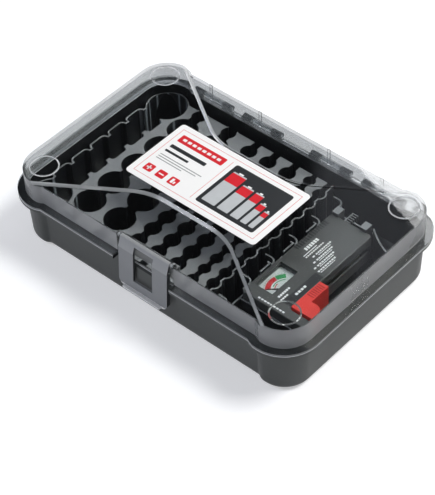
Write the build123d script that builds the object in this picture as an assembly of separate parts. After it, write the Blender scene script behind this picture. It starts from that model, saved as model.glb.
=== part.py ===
from build123d import *
import math
import os

os.makedirs("parts", exist_ok=True)

# ---------------------------------------------------------------------------
# Driving dimensions, millimetres.  X runs along the front, Y to the back, Z up.
# The origin is on the underside, in the middle of the case.
# ---------------------------------------------------------------------------

# Case shell, seen from above
case_length = 292.0         # tub and lid walls, left to right
case_width = 184.0          # over the corner bulges, front to back
corner_radius = 26.0
recess_depth = 2.6          # the front and back faces lie behind the bulges
bulge_length = 27.0         # from the end of the case to the foot of the bulge
bulge_round = 11.0
recess_round = 3.0

# Case shell, seen from the side
rim_height = 47.3           # top of the tub's rim, where the lid sits
rim_thickness = 2.4
flange_thickness = 2.5      # the lid's rim
case_height = 70.0          # top of the lid
rim_overhang = 6.3
rear_overhang = 2.0         # the rims are narrow between the hinges
tub_wall = 2.2
tub_floor = 2.2
tub_draft = 2.1             # the tub's walls lean in by this much at the foot
bottom_round = 7.0
lid_wall = 2.0
lid_top = 2.2
facet_drop = 2.0            # the front and back of the lid lie lower than its middle
step_run = 2.6
step_flat = 40.0            # half length of the straight middle of each step
step_middle = 39.5          # the step's distance from the middle of the lid
step_corner_x = 121.0       # where the step meets the edge of the lid
step_round = 55.0
ring_inset = 20.0           # stacking rings, from the edges of the lid
ring_radius = 12.6
ring_width = 1.3
ring_height = 0.7
seat_gap = 0.2              # between pieces that rest on each other

# Hinges along the back
hinge_inner = 36.5          # middle of each hinge, from the middle of the case
hinge_outer = 90.7
hinge_length = 41.0
hinge_end_knuckle = 9.5
knuckle_radius = 3.0
knuckle_gap = 0.4
pin_radius = 1.25
pin_fit = 0.05              # radial clearance of each running pin
hinge_out = 3.8             # hinge axis, from the back face
hinge_rise = 1.2            # hinge axis, above the tub's rim
gusset_width = 2.6          # rib on the lid's back wall over each hinge
gusset_depth = 1.2
gusset_head = 1.0           # the rib ends this far below the edge of the lid

# Latch in the middle of the front
latch_width = 51.0
latch_gap = 0.7             # between the latch and the ears that carry it
latch_foot = 21.5           # height of its lower edge
latch_wall = 2.0
latch_bend_drop = 10.0      # where the slanted top of the latch begins, below the top of the lid
latch_lean = 2.9            # the foot of the latch stands out by this much
latch_bend_out = 3.0        # front of the latch, from the front face, at the bend
latch_corner = 6.0
latch_lip = 2.6             # finger lip along the foot, flat on top
latch_lip_height = 1.8
latch_rib = 1.6             # stiffening rib down each side, behind the plate
window_width = 20.0
window_foot = 31.5
window_head_drop = 4.4      # top of the window, below the top of the lid
pocket_depth = 4.1          # the lid's wall stands back behind the latch
ear_thickness = 2.4
ear_radius = 1.9            # also the barrel of the latch between them
ear_clearance = 0.5         # behind the barrel
latch_axis_drop = 0.7       # latch pivot, below the lid's front edge
ear_margin = 1.0            # free flange cut beside each ear
latch_pin_radius = 1.0
latch_pin_length = 9.0
catch_width = 16.8
catch_foot = 32.6
catch_gap = 0.4
catch_bevel = 1.5

# Cell tray
tray_top = 38.3
tray_plate = 1.8
tray_wall = 1.2
tray_floor = 1.6
tray_clearance = 0.3        # between the trays and the tub's walls
tray_half_depth = 82.0
nine_volt_width = 27.2
nine_volt_pitch = 21.9
nine_volt_rows = 5
nine_volt_round = 3.5
tooth_width = 4.2
tooth_depth = 4.4
d_radius = 17.45
c_radius = 13.55
c_pitch = 27.85
c_rows = 5
c_neck = 10.0
c_end_radius = 6.9
aa_radius = 7.5
aa_pitch = 16.7
aa_rows = 9
aa_neck = 7.4
aaa_radius = 5.5
aaa_pitch = 14.3
aaa_rows = 11
aaa_neck = 5.2
rows_offset = 3.1           # the round-cell rows sit a little behind the middle
land_nine_volt = 5.8        # flat lands between the columns, left to right
land_c = 5.8
land_c_aa = 7.1
land_aa = 5.8
land_aa_aaa = 6.8
land_aaa = 4.6

# Tester, lying in its cradle
tester_left = 66.4
tester_width = 41.0
tester_length = 110.0
tester_front = -53.2
tester_height = 25.0
tester_split = 12.9         # the lower case is this tall
tester_wall = 1.8
tester_round = 2.5
tester_reach = 61.4         # width over the foot that carries the fixed contact
tester_step = 8.6           # depth of that foot
gauge_x = 69.7
gauge_width = 17.6
gauge_y = -41.4
gauge_length = 31.0
gauge_depth = 5.2
dial_thickness = 0.6
glass_thickness = 1.2
frame_wall = 1.2            # around the gauge
glass_drop = 0.8            # glazing, below the top of the tester
glass_gap = 0.1
glass_ledge = 0.8
screw_inset = 5.5
screw_right = 9.5           # the right-hand screws stand clear of the slot
screw_radius = 0.8
screw_head_radius = 1.9
screw_head_depth = 1.5
screw_fit = 0.1             # head, from the underside of the tester
boss_wall = 1.6
board_left = 5.0
board_width = 25.0
board_length = 40.0
board_back = 14.0
board_rise = 7.0            # from the underside of the tester
board_thickness = 1.6
stud_inset = 2.0
stud_radius = 1.6
resistor_count = 3
resistor_pitch = 9.0
resistor_first = 8.0
resistor_inset = 5.0
resistor_radius = 1.8
slot_height = 6.4           # slider slot, across the joint between the cases
slot_front = 1.0
slot_back = 3.0
arm_gap = 0.4
arm_width = 8.6
arm_length = 34.4
arm_reach = 20.2
arm_hook = 13.6             # depth of the part that reaches over the cell
arm_hook_round = 6.5
arm_rise = 1.4
arm_foot = 19.0
tongue_front = 4.0          # tongue through the slot, from the ends of the arm
tongue_back = 5.0
tongue_gap = 0.3
tongue_flange = 2.0
tongue_lap = 1.6
contact_thickness = 0.5
contact_gap = 0.5           # between the slider's contact and the fixed one
contact_left = 3.0
contact_right = 1.5
contact_foot = 2.0
contact_drop = 3.0
wiper_inset = 6.0
wiper_length = 12.0
wiper_half = 1.5
rail_gap = 0.3
rail_front = 2.0
rail_back = 6.0
rail_rise = 2.5
pad_left = 14.0             # nine-volt contacts on the tester's front end
pad_pitch = 12.7
pad_radii = (4.2, 3.0)
pad_thickness = 0.3
pad_sink = 0.05

# Moving-coil meter under the gauge
pivot_x = 89.6
pivot_front = 1.5           # pivot, in front of the middle of the gauge
meter_rise = 8.4            # foot of the magnet, from the underside of the tester
meter_height = 7.0
magnet_radius = 9.0
magnet_bore = 6.2
magnet_leg = 3.0            # legs between the magnet and its base plate
leg_inset = 0.6
leg_depth = 1.6
base_thickness = 1.2
core_radius = 3.2
core_inset = 1.0
web_half = 6.1
web_thickness = 1.2
web_inset = 2.5
coil_half = 5.3
coil_width = 1.8
coil_wire = 1.2
coil_rise = 0.6             # over and under the magnet
shaft_radius = 0.5
bearing_radius = 2.0
bearing_gap = 0.4
needle_length = 15.5
needle_width = 0.7
needle_thickness = 0.4
needle_tail = 2.8
needle_root = 1.8           # width at the tail
needle_rise = 0.7           # above the dial
needle_room = 2.0
needle_start = 42.0         # degrees, from straight left towards the front
hub_radius = 1.5
hub_rise = 0.3
dial_reach = 4.5            # dial card, past the pivot
dial_hole = 2.4

# Cradle for the tester, with the storage well behind it
cradle_wall = 1.4
cradle_gap = 1.0            # between the cell tray and the cradle
pocket_pitch = 28.2
pocket_count = 5
pocket_first = -64.0
pocket_reach = 11.5
pocket_top = 33.0
bay_top = 30.0
tab_length = 13.0
tab_rise = 9.6
clip_width = 6.4
clip_depth = 6.5
clip_rise = 3.6
clip_hold = 1.0
clip_left = 1.2             # clips, from the sides of the tester
clip_right = 5.4
bay_gap = 0.5               # around the tester in its cradle
bay_margin = 2.0            # walls of the bay past the tester's back end
pocket_hook = 12.0          # hooked front of each small pocket
pocket_hook_round = 5.0
tab_lip = 2.0
tab_shift = 2.0
rest_inset = 14.0           # bars under the tester
rest_margin = 3.0
rack_count = 6              # toothed rack between the clips
rack_pitch = 2.5
rack_tooth = 1.0
rack_first = 1.2
rack_left = 9.5
rack_width = 6.0
rack_length = 14.7
rack_top = 33.0
well_gap = 1.5              # between the clips and the storage well
scoop_round = 14.0
divider_top = 36.0
divider_bends = ((1.0, 3.5), (9.0, -1.5), (18.0, -5.5))   # from the tester's back right corner
divider_end = -6.5
foot_stop = 4.0             # wall beside the tester's foot

# Label on the lid
label_length = 135.6
label_width = 70.4
label_x = -5.2
label_y = 1.3
label_round = 3.4
label_thickness = 0.3


# ---------------------------------------------------------------------------
# Shared shapes
# ---------------------------------------------------------------------------

def block(x0, x1, y0, y1, z0, z1):
    """Box between two corners."""
    return Pos((x0 + x1) / 2, (y0 + y1) / 2, (z0 + z1) / 2) * Box(x1 - x0, y1 - y0, z1 - z0)


def rod_x(x0, x1, y, z, radius):
    """Round bar along X."""
    return Pos((x0 + x1) / 2, y, z) * Rot(0, 90, 0) * Cylinder(radius, x1 - x0)


def post(x, y, z0, z1, radius):
    """Round bar along Z."""
    return Pos(x, y, (z0 + z1) / 2) * Cylinder(radius, z1 - z0)


def side_plate(points, x0, x1):
    """Plate across X from an outline of (y, z) points."""
    face = make_face(Polyline(*[(x0, y, z) for y, z in points], close=True))
    return extrude(face, amount=x1 - x0, dir=(1, 0, 0))


def case_outline(inset):
    """Plan of the case moved inwards: four round corner bulges and two flat recessed faces."""
    hx = case_length / 2 - inset
    hy = case_width / 2 - inset
    fy = hy - recess_depth
    convex = bulge_round - inset
    concave = recess_round + max(inset, 0)
    turn = math.acos(1 - recess_depth / (convex + concave))
    bulge_x = case_length / 2 - bulge_length
    recess_x = bulge_x - (convex + concave) * math.sin(turn)
    radius = corner_radius - inset
    cx = hx - radius
    cy = hy - radius

    def around(x, y, r, angle):
        return (x + r * math.cos(angle), y + r * math.sin(angle))

    quarter = math.pi / 2
    concave_arc = [around(recess_x, fy + concave, concave, a - quarter) for a in (0, turn / 2, turn)]
    convex_arc = [around(bulge_x, hy - convex, convex, quarter + a) for a in (turn, turn / 2, 0)]
    corner_arc = [around(cx, cy, radius, a) for a in (quarter, quarter / 2, 0)]
    edges = []
    for sx, sy in ((1, 1), (1, -1), (-1, -1), (-1, 1)):
        def put(p, sx=sx, sy=sy):
            return (sx * p[0], sy * p[1])
        for arc in (concave_arc, convex_arc, corner_arc):
            edges.append(ThreePointArc(*[put(p) for p in arc]))
        edges.append(Line(put(convex_arc[2]), put(corner_arc[0])))
    for s in (1, -1):
        edges.append(Line((-recess_x, s * fy), (recess_x, s * fy)))
        edges.append(Line((s * hx, -cy), (s * hx, cy)))
    return make_face(edges)


def prism(inset, z0, z1):
    """Straight block with the case's plan."""
    return extrude(Pos(0, 0, z0) * case_outline(inset), amount=z1 - z0)


def tub_form(inset, foot, head, rounding):
    """Drafted block with the case's plan and a rounded foot."""
    def lean(z):
        return tub_draft * (1 - z / rim_height)
    low = Pos(0, 0, foot) * case_outline(inset + lean(foot))
    high = Pos(0, 0, head) * case_outline(inset + lean(head))
    form = loft([low, high], ruled=True)
    return fillet(form.edges().group_by(Axis.Z)[0], rounding)


def save(shape, name):
    """Write one piece, or one group of like pieces, under its own name."""
    export_step(shape, "parts/" + name + ".step")


half_length = case_length / 2
face_y = case_width / 2 - recess_depth          # front and back faces
lid_foot = rim_height + seat_gap
flange_top = lid_foot + flange_thickness
facet_height = case_height - facet_drop
rear_rim = face_y + rear_overhang
hinge_y = face_y + hinge_out
hinge_z = rim_height + hinge_rise
far = case_length                               # reaches past everything
bite = 0.5                                      # how far joined shapes run into each other
hinge_centres = (-hinge_outer, -hinge_inner, hinge_inner, hinge_outer)
latch_bend_height = case_height - latch_bend_drop
window_head = case_height - window_head_drop


def rear_trim(z0, z1):
    """What is cut from a rim along the back, between the corners."""
    reach = half_length - bulge_length
    return block(-reach, reach, rear_rim, far, z0, z1)


def hinge_knuckles(spans, web_foot, web_head):
    """Knuckles at the given spans of every hinge, with the webs that join them to a rim."""
    body = None
    for centre in hinge_centres:
        for x0, x1 in spans:
            round_part = rod_x(centre + x0, centre + x1, hinge_y, hinge_z, knuckle_radius)
            web = block(centre + x0, centre + x1, face_y - tub_wall / 2, hinge_y, web_foot, web_head)
            piece = round_part + web
            body = piece if body is None else body + piece
    return body


def hinge_clear(spans):
    """Room around the other leaf's knuckles."""
    body = None
    for centre in hinge_centres:
        for x0, x1 in spans:
            piece = rod_x(centre + x0 - knuckle_gap, centre + x1 + knuckle_gap, hinge_y, hinge_z,
                          knuckle_radius + knuckle_gap)
            body = piece if body is None else body + piece
    return body


def hinge_bores(radius):
    """Holes for the hinge pins."""
    body = None
    for centre in hinge_centres:
        reach = hinge_length / 2 + knuckle_gap
        piece = rod_x(centre - reach, centre + reach, hinge_y, hinge_z, radius)
        body = piece if body is None else body + piece
    return body


end_spans = ((-hinge_length / 2, -hinge_length / 2 + hinge_end_knuckle),
             (hinge_length / 2 - hinge_end_knuckle, hinge_length / 2))
middle_spans = ((end_spans[0][1] + knuckle_gap, end_spans[1][0] - knuckle_gap),)

# ---------------------------------------------------------------------------
# Tub
# ---------------------------------------------------------------------------

pocket_half = latch_width / 2 + latch_gap + ear_thickness + ear_margin
pocket_y = face_y - pocket_depth                # lid wall behind the latch


def latch_face(z, depth=0.0):
    """Distance of the latch's front from the middle of the case, at a height."""
    lean = latch_lean * (latch_bend_height - z) / (latch_bend_height - latch_foot)
    return face_y + latch_bend_out + lean - depth


tub = tub_form(0, 0, rim_height, bottom_round)
rim = prism(-rim_overhang, rim_height - rim_thickness, rim_height)
rim -= rear_trim(0, case_height)
rim -= block(-pocket_half, pocket_half, -far, -face_y, 0, case_height)
tub += rim
tub += hinge_knuckles(end_spans, rim_height - 2 * rim_thickness, rim_height)
tub -= tub_form(tub_wall, tub_floor, rim_height + 1, bottom_round - tub_wall)
catch_points = [(-(face_y - tub_wall / 2), catch_foot),
                (-(latch_face(catch_foot, latch_wall) - catch_gap), catch_foot),
                (-(latch_face(rim_height, latch_wall) - catch_gap), rim_height - catch_bevel),
                (-(latch_face(rim_height, latch_wall) - catch_gap - catch_bevel), rim_height),
                (-(face_y - tub_wall / 2), rim_height)]
tub += side_plate(catch_points, -catch_width / 2, catch_width / 2)
tub -= hinge_clear(middle_spans)
tub -= hinge_bores(pin_radius + pin_fit)
save(tub, "base_tub")

for number, centre in enumerate(hinge_centres, 1):
    pin = rod_x(centre - hinge_length / 2, centre + hinge_length / 2, hinge_y, hinge_z, pin_radius)
    save(pin, "hinge_pin_" + str(number))


# ---------------------------------------------------------------------------
# Lid
# ---------------------------------------------------------------------------

def facet_cutter(level, shift):
    """Removes the lid's front above a level; the step at its edge follows the H of the top."""
    slope = (case_width / 2 - step_middle) / (step_corner_x - step_flat)
    end_x = step_flat + case_width / slope

    def outline(z, push):
        edge_y = push - step_middle
        edge = FilletPolyline((-end_x, edge_y - case_width, z), (-step_flat, edge_y, z), (step_flat, edge_y, z),
                              (end_x, edge_y - case_width, z), radius=step_round)
        left, right = edge.position_at(0), edge.position_at(1)
        rest = Polyline(right, (right.X, -far, z), (left.X, -far, z), left)
        return make_face([edge, rest])

    low = outline(level, shift)
    high = outline(level + facet_drop, shift + step_run)
    return loft([low, high], ruled=True) + extrude(high, amount=case_height)


def cut_facets(body, level, shift):
    cutter = facet_cutter(level, shift)
    return body - cutter - Rot(0, 0, 180) * cutter


lid = cut_facets(prism(0, lid_foot, case_height), facet_height, -step_run / 2)
flange = prism(-rim_overhang, lid_foot, flange_top)
flange -= rear_trim(0, case_height)
flange -= block(-far, far, hinge_y, far, 0, case_height)
lid += flange
lid -= block(-pocket_half, pocket_half, -far, -face_y, 0, flange_top)
lid -= block(-pocket_half, pocket_half, -far, -pocket_y, flange_top, case_height + 1)
room = cut_facets(prism(lid_wall, lid_foot - 1, case_height - lid_top), facet_height - lid_top,
                  lid_top / 2 - step_run / 2)
room -= block(-pocket_half - lid_wall, pocket_half + lid_wall, -far, -(pocket_y - lid_wall), 0, case_height)
lid -= hinge_clear(end_spans)
lid += hinge_knuckles(middle_spans, lid_foot, flange_top)
lid -= room
for centre in hinge_centres:
    lid += block(centre - gusset_width / 2, centre + gusset_width / 2, face_y - lid_wall / 2,
                 face_y + gusset_depth, flange_top - bite, facet_height - gusset_head)

latch_axis_y = -(pocket_y + ear_radius + ear_clearance)
latch_axis_z = facet_height - latch_axis_drop
ear_inner = latch_width / 2 + latch_gap
ear_outer = ear_inner + ear_thickness
ear_root = -(pocket_y - lid_wall / 2)
for side in (1, -1):
    x0, x1 = sorted((side * ear_inner, side * ear_outer))
    lid += rod_x(x0, x1, latch_axis_y, latch_axis_z, ear_radius)
    lid += side_plate([(latch_axis_y, latch_axis_z + ear_radius), (ear_root, latch_axis_z),
                       (ear_root, latch_axis_z - 4 * ear_radius),
                       (latch_axis_y - ear_radius, latch_axis_z)], x0, x1)
lid -= rod_x(-ear_outer, ear_outer, latch_axis_y, latch_axis_z, latch_pin_radius + pin_fit / 2)
ring_x = half_length - ring_inset
ring_y = case_width / 2 - ring_inset
for sx in (1, -1):
    for sy in (1, -1):
        ring = post(sx * ring_x, sy * ring_y, case_height - bite, case_height + ring_height, ring_radius)
        ring -= post(sx * ring_x, sy * ring_y, 0, 2 * case_height, ring_radius - ring_width)
        lid += ring
lid -= hinge_bores(pin_radius + pin_fit)
save(lid, "lid_shell")

label = Pos(label_x, label_y, case_height) * RectangleRounded(label_length, label_width, label_round)
save(extrude(label, amount=label_thickness), "label_card")

# ---------------------------------------------------------------------------
# Latch
# ---------------------------------------------------------------------------

def latch_crown():
    """Where the slanted top of the latch runs into its barrel."""
    bend_y = -latch_face(latch_bend_height)
    dy = latch_axis_y - bend_y
    dz = latch_axis_z - latch_bend_height
    reach = math.hypot(dy, dz)
    turn = math.atan2(dz, dy) + math.asin(ear_radius / reach)
    run = math.sqrt(reach ** 2 - ear_radius ** 2)
    return (bend_y + run * math.cos(turn), latch_bend_height + run * math.sin(turn))


def latch_front(depth):
    """Foot and bend of the latch's plate, moved inwards by a depth."""
    return [(-latch_face(latch_foot, depth), latch_foot),
            (-latch_face(latch_bend_height, depth), latch_bend_height - depth / 4)]


latch_half = latch_width / 2
outer = latch_front(0)
inner = latch_front(latch_wall)
latch = side_plate(outer + [latch_crown(), (latch_axis_y, latch_axis_z), inner[1], inner[0]], -latch_half,
                   latch_half)
latch += rod_x(-latch_half, latch_half, latch_axis_y, latch_axis_z, ear_radius)
rib = latch_front(latch_wall + latch_rib)
for side in (1, -1):
    x0, x1 = sorted((side * latch_half, side * (latch_half - latch_wall)))
    latch += side_plate(outer + [rib[1], rib[0]], x0, x1)
lip_y = -latch_face(latch_foot) - latch_lip
lip_top = latch_foot + latch_lip_height
latch += side_plate([(-latch_face(lip_top, latch_wall / 2), lip_top), (lip_y, lip_top), (lip_y, latch_foot), inner[0]],
                    latch_corner - latch_half, latch_half - latch_corner)
for side in (1, -1):
    corner = block(0, latch_corner, -far, 0, -1, latch_corner)
    corner -= Pos(0, -far / 2, latch_corner) * Rot(90, 0, 0) * Cylinder(latch_corner, far)
    turned = corner if side == 1 else mirror(corner, Plane.YZ)
    latch -= Pos(side * (latch_half - latch_corner), 0, latch_foot) * turned
latch -= block(-window_width / 2, window_width / 2, -far, 0, window_foot, window_head)
for side in (1, -1):
    x0, x1 = sorted((side * (ear_outer - latch_pin_length - latch_gap), side * latch_half))
    latch -= rod_x(x0, x1, latch_axis_y, latch_axis_z, latch_pin_radius + pin_fit)
save(latch, "front_latch")
for name, side in (("latch_pin_right", 1), ("latch_pin_left", -1)):
    x0, x1 = sorted((side * ear_outer, side * (ear_outer - latch_pin_length)))
    save(rod_x(x0, x1, latch_axis_y, latch_axis_z, latch_pin_radius), name)

# ---------------------------------------------------------------------------
# Cell tray: one moulding, a flat plate with a walled channel for each column
# ---------------------------------------------------------------------------

tray_foot = tub_floor + seat_gap
inner_side = half_length - tub_wall - tub_draft - tray_clearance
inner_front = case_width / 2 - tub_wall - tub_draft - tray_clearance
nine_left = -(inner_side - tray_wall)
nine_x = nine_left + nine_volt_width / 2
c_first = nine_left + nine_volt_width + land_nine_volt + c_radius
c_xs = (c_first, c_first + 2 * c_radius + land_c)
aa_first = c_xs[1] + c_radius + land_c_aa + aa_radius
aa_xs = tuple(aa_first + i * (2 * aa_radius + land_aa) for i in range(3))
aaa_first = aa_xs[2] + aa_radius + land_aa_aaa + aaa_radius
aaa_xs = (aaa_first, aaa_first + 2 * aaa_radius + land_aaa)
d_x = -(inner_side - d_radius)
d_y = inner_front - d_radius


def row_places(rows, pitch, offset=0.0):
    return [offset + (i - (rows - 1) / 2) * pitch for i in range(rows)]


def column(x, radius, ys, neck, grow, reach):
    """Scalloped channel: round wells joined by a straight neck, made larger by grow."""
    wells = [Pos(x, y) * Circle(radius + grow) for y in ys]
    return wells + [Pos(x, 0) * Rectangle(neck + 2 * grow, 2 * reach)]


def channels(grow, reach):
    """Plan of every channel in the tray."""
    shapes = []
    for y in row_places(nine_volt_rows, nine_volt_pitch):
        slot = RectangleRounded(nine_volt_width + 2 * grow, nine_volt_pitch - tooth_width + 2 * grow,
                                nine_volt_round + grow)
        shapes.append(Pos(nine_x, y) * slot)
    shapes.append(Pos(nine_x, 0) * Rectangle(nine_volt_width - 2 * tooth_depth + 2 * grow,
                                             nine_volt_rows * nine_volt_pitch + tooth_width))
    for s in (1, -1):
        shapes.append(Pos(d_x, s * d_y) * Circle(d_radius + grow))
    end_y = tray_half_depth - c_end_radius * 0.75
    for x in c_xs:
        shapes += column(x, c_radius, row_places(c_rows, c_pitch), c_neck, grow, reach)
        shapes += [Pos(x, s * end_y) * Circle(c_end_radius + grow) for s in (1, -1)]
    for x in aa_xs:
        shapes += column(x, aa_radius, row_places(aa_rows, aa_pitch, rows_offset), aa_neck, grow, reach)
    for x, rows in zip(aaa_xs, (aaa_rows, aaa_rows - 1)):
        shapes += column(x, aaa_radius, row_places(rows, aaa_pitch, rows_offset), aaa_neck, grow, reach)
    return Sketch() + shapes


def inside_tub(head):
    """Room for the trays inside the tub."""
    return tub_form(tub_wall + tray_clearance, tray_foot, head, bottom_round - tub_wall)


plate_right = aaa_xs[1]
tray = extrude(Pos(0, 0, tray_foot) * channels(tray_wall, tray_half_depth), amount=tray_top - tray_foot)
tray += block(nine_x, plate_right, -tray_half_depth, tray_half_depth, tray_top - tray_plate, tray_top)
for s in (1, -1):
    y0, y1 = sorted((s * tray_half_depth, s * (tray_half_depth - tray_wall)))
    tray += block(c_xs[0] - c_radius, plate_right, y0, y1, tray_foot, tray_top)
tray -= extrude(Pos(0, 0, tray_foot + tray_floor) * channels(0, inner_front), amount=case_height)
tray &= inside_tub(tray_top + 1)
save(tray, "cell_tray")

# ---------------------------------------------------------------------------
# Tester cradle: the second moulding, with the storage well behind the tester
# ---------------------------------------------------------------------------

tester_top = tray_top
tester_base = tester_top - tester_height
tester_right = tester_left + tester_width
tester_back = tester_front + tester_length
tester_end = tester_left + tester_reach
cradle_left = aaa_xs[1] + aaa_radius + tray_wall + cradle_gap
cradle_floor = tray_foot + tray_floor
bay_wall = tester_left - bay_gap
front_wall = tester_front - bay_gap
end_wall = tester_end + bay_gap
clip_y = tester_back + bay_gap


def thin_wall(path, z0, z1):
    """Upright wall of the cradle along a path."""
    return extrude(Pos(0, 0, z0) * trace(path, line_width=cradle_wall), amount=z1 - z0)


cradle = block(cradle_left, far, -far, far, tray_foot, cradle_floor)
turn_x = cradle_left + pocket_reach - cradle_wall / 2
for i in range(pocket_count + 1):
    y = pocket_first + i * pocket_pitch
    hook = FilletPolyline((cradle_left, y), (turn_x, y), (turn_x, y - pocket_hook), radius=pocket_hook_round)
    cradle += thin_wall(hook, tray_foot, pocket_top)
    tab_y = y - pocket_pitch / 2 - tab_shift + tab_length / 2
    if i < pocket_count and tab_y - tab_length > tester_front:
        cradle += block(bay_wall - cradle_wall, bay_wall, tab_y - tab_length, tab_y, tray_foot, bay_top + tab_rise)
        cradle += block(bay_wall - cradle_wall - tab_lip, bay_wall, tab_y - cradle_wall, tab_y, tray_foot,
                        bay_top + tab_rise)
cradle += block(bay_wall - cradle_wall, bay_wall, tester_front - pocket_hook, tester_back + bay_margin, tray_foot,
                bay_top)
cradle += block(bay_wall - cradle_wall, tester_end, front_wall - cradle_wall, front_wall, tray_foot, bay_top)
cradle += block(end_wall, end_wall + cradle_wall, front_wall - cradle_wall, tester_front + tester_step + foot_stop,
                tray_foot, bay_top)
for y in (tester_front + rest_inset, tester_back - rest_inset):
    cradle += block(tester_left + rest_margin, tester_right - rest_margin, y - cradle_wall, y + cradle_wall,
                    tray_foot, tester_base)
clip_ends = ((tester_left + clip_left, tester_left + clip_left + clip_width),
             (tester_right - clip_right - clip_width, tester_right - clip_right))
for x0, x1 in clip_ends:
    cradle += block(x0, x1, clip_y, clip_y + clip_depth, tray_foot, tester_top + clip_rise)
    cradle += block(x0, x1, tester_back - clip_hold, clip_y + clip_depth, tester_top + seat_gap,
                    tester_top + clip_rise)
rack_x = tester_left + rack_left
cradle += block(rack_x, rack_x + cradle_wall, clip_y, clip_y + rack_length, tray_foot, rack_top)
for i in range(rack_count):
    y = clip_y + rack_first + i * rack_pitch
    cradle += block(rack_x, rack_x + rack_width, y, y + rack_tooth, tray_foot, rack_top)
well_front = clip_y + clip_depth + well_gap
divider_start = clip_ends[1][1]
cradle += block(cradle_left + pocket_reach, divider_start, well_front, well_front + cradle_wall, tray_foot, bay_top)
divider = Spline((divider_start, well_front + cradle_wall / 2),
                 *[(tester_right + x, clip_y + y) for x, y in divider_bends],
                 (half_length - tub_wall, clip_y + divider_end))
cradle += thin_wall(divider, tray_foot, divider_top)
scoop_back = case_width / 2 - tub_wall
scoop = block(cradle_left, far, scoop_back - scoop_round, far, tray_foot, cradle_floor + scoop_round)
scoop -= rod_x(0, far, scoop_back - scoop_round, cradle_floor + scoop_round, scoop_round)
cradle += scoop
cradle &= inside_tub(tester_top + clip_rise + 1)
save(cradle, "tester_cradle")

# ---------------------------------------------------------------------------
# Tester: two case halves, meter, slider and contacts
# ---------------------------------------------------------------------------


def tester_plan(inset):
    """L-shaped plan of the tester's case, moved inwards."""
    x0 = tester_left + inset
    y0 = tester_front + inset
    x1 = tester_right - inset
    y1 = tester_back - inset
    x2 = tester_end - inset
    ys = tester_front + tester_step - inset
    face = make_face(Polyline((x0, y0), (x2, y0), (x2, ys), (x1, ys), (x1, y1), (x0, y1), close=True))
    return fillet(face.vertices(), tester_round - inset * 0.8)


split_z = tester_base + tester_split
screw_places = [(x, y) for x in (tester_left + screw_inset, tester_right - screw_right)
                for y in (tester_front + screw_inset, tester_back - screw_inset)]
slot_y0 = tester_front + tester_step + slot_front
slot_y1 = tester_back - slot_back
slot = block(tester_right - tester_wall - 1, tester_right + 1, slot_y0, slot_y1, split_z - slot_height / 2,
             split_z + slot_height / 2)
board_x0 = tester_left + board_left
board_x1 = board_x0 + board_width
board_y1 = tester_back - board_back
board_y0 = board_y1 - board_length
board_z = tester_base + board_rise
pivot_y = gauge_y + gauge_length / 2 - pivot_front
meter_foot = tester_base + meter_rise
meter_head = meter_foot + meter_height
base_z = meter_foot - magnet_leg

lower = extrude(Pos(0, 0, tester_base) * tester_plan(0), amount=tester_split)
lower -= extrude(Pos(0, 0, tester_base + tester_wall) * tester_plan(tester_wall), amount=tester_height)
for x, y in screw_places:
    lower += post(x, y, tester_base, split_z, screw_head_radius + boss_wall / 2)
for x in (board_x0 + stud_inset, board_x1 - stud_inset):
    for y in (board_y0 + stud_inset, board_y1 - stud_inset):
        lower += post(x, y, tester_base + bite, board_z, stud_radius)
lower += post(pivot_x, pivot_y, tester_base + bite, base_z, magnet_radius)
lower -= slot
for x, y in screw_places:
    lower -= post(x, y, 0, case_height, screw_radius + 3 * screw_fit)
    lower -= post(x, y, 0, tester_base + screw_head_depth, screw_head_radius + 2 * screw_fit)
save(lower, "tester_lower_case")

upper = extrude(Pos(0, 0, split_z) * tester_plan(0), amount=tester_top - split_z)
upper = fillet(upper.edges().group_by(Axis.Z)[-1], 0.8)
upper -= extrude(Pos(0, 0, split_z - 1) * tester_plan(tester_wall), amount=tester_top - split_z + 1 - tester_wall)
for x, y in screw_places:
    upper += post(x, y, split_z, tester_top - bite, screw_radius + boss_wall)
gauge_x1 = gauge_x + gauge_width
gauge_y1 = gauge_y + gauge_length
dial_z = tester_top - gauge_depth
upper += block(gauge_x - frame_wall, gauge_x1 + frame_wall, gauge_y - frame_wall, gauge_y1 + frame_wall, dial_z,
               tester_top - bite)
glass_head = tester_top - glass_drop
glass_foot = glass_head - glass_thickness
upper -= block(gauge_x, gauge_x1, gauge_y, gauge_y1, glass_foot, case_height)
upper -= block(gauge_x + glass_ledge, gauge_x1 - glass_ledge, gauge_y + glass_ledge, gauge_y1 - glass_ledge, 0,
               case_height)
upper -= block(gauge_x1 - 2 * glass_ledge, gauge_x1 + 2 * frame_wall, gauge_y + glass_ledge,
               gauge_y1 - glass_ledge, 0, dial_z + needle_room)
upper += post(pivot_x, pivot_y, dial_z + needle_room + bearing_gap, tester_top - bite, bearing_radius)
upper -= post(pivot_x, pivot_y, 0, tester_top - tester_wall, shaft_radius + pin_fit)
upper -= slot
for x, y in screw_places:
    upper -= post(x, y, 0, tester_top - tester_wall, screw_radius + pin_fit)
save(upper, "tester_upper_case")

save(block(gauge_x + glass_gap, gauge_x1 - glass_gap, gauge_y + glass_gap, gauge_y1 - glass_gap, glass_foot,
           glass_head), "gauge_window")

dial = block(gauge_x - frame_wall, pivot_x + dial_reach, gauge_y - frame_wall, gauge_y1 + frame_wall,
             dial_z - dial_thickness, dial_z)
dial -= post(pivot_x, pivot_y, 0, case_height, dial_hole)
save(dial, "gauge_dial")

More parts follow.
